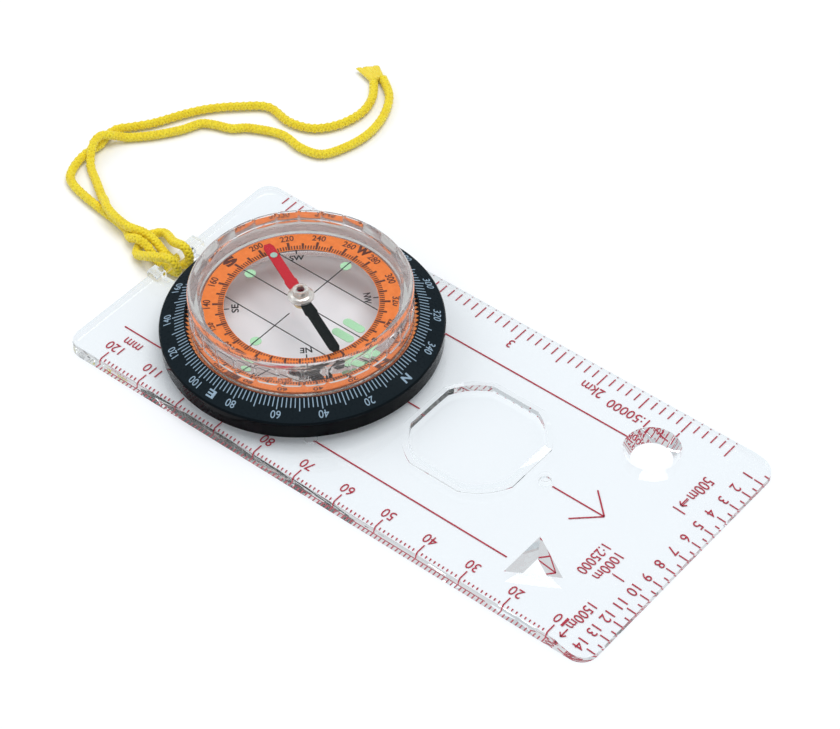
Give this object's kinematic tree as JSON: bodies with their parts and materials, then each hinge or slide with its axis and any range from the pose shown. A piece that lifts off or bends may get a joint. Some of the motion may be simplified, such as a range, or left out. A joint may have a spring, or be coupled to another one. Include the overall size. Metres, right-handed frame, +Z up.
{
  "type": "baseplate compass",
  "caption": "Clear baseplate compass with a lens, ruler edges, a turning liquid-filled dial, a free needle and a looped cord.",
  "frame": {"origin": "on the dial's axis, in the plane of the baseplate's underside", "axes": "+Y along the direction of travel, +X towards the millimetre edge, +Z up out of the plate"},
  "size_m": [0.1042, 0.1663, 0.0165],
  "materials": {
    "clear_plate": "clear polished acrylic with a faint cool tint",
    "clear_capsule": "clear polished acrylic",
    "black_plastic": "glossy moulded black",
    "white_plastic": "natural white nylon",
    "orange_dial": "satin orange card-like plastic",
    "lume": "pale green luminous paint",
    "brass": "turned",
    "steel": "ground",
    "nickel": "turned, nickel plated",
    "needle_paint": "red north half, black south half",
    "jewel": "polished",
    "seal": "matt",
    "red_ink": "printed",
    "black_ink": "printed",
    "white_ink": "printed",
    "cord": "braided yellow polyester",
    "fused_cord": "melted and pressed cord end"
  },
  "bodies": {
    "base": {"baseplate": "clear_plate", "drag_washer": "white_plastic", "plate_print": "red_ink"},
    "dial": {"azimuth_ring": "black_plastic", "retaining_ring": "clear_capsule", "capsule_housing": "clear_capsule", "capsule_base": "clear_capsule", "seal_ring": "seal", "fill_plug": "white_plastic", "dial_ring": "orange_dial", "lume_dots": "lume", "lume_bars": "lume", "pivot_bush": "brass", "pivot_pin": "steel", "dial_print": "black_ink", "ring_print": "white_ink"},
    "needle": {"needle_blade": "needle_paint", "needle_hub": "nickel", "jewel_bearing": "jewel", "needle_lume": "lume"},
    "lanyard": {"lanyard_cord": "cord", "lanyard_tip": "fused_cord"}
  },
  "joints": [
    {"name": "dial_turn", "type": "hinge", "parent": "base", "child": "dial", "pos_m": [0, 0, 0], "axis": [0, 0, 1], "continuous": true},
    {"name": "needle_spin", "type": "hinge", "parent": "dial", "child": "needle", "pos_m": [0, 0, 0.0123], "axis": [0, 0, 1], "continuous": true},
    {"name": "lanyard_swing", "type": "hinge", "parent": "base", "child": "lanyard", "pos_m": [0, -0.034, 0.0032], "axis": [-1, 0, 0], "range_deg": [-85, 80]}
  ]
}
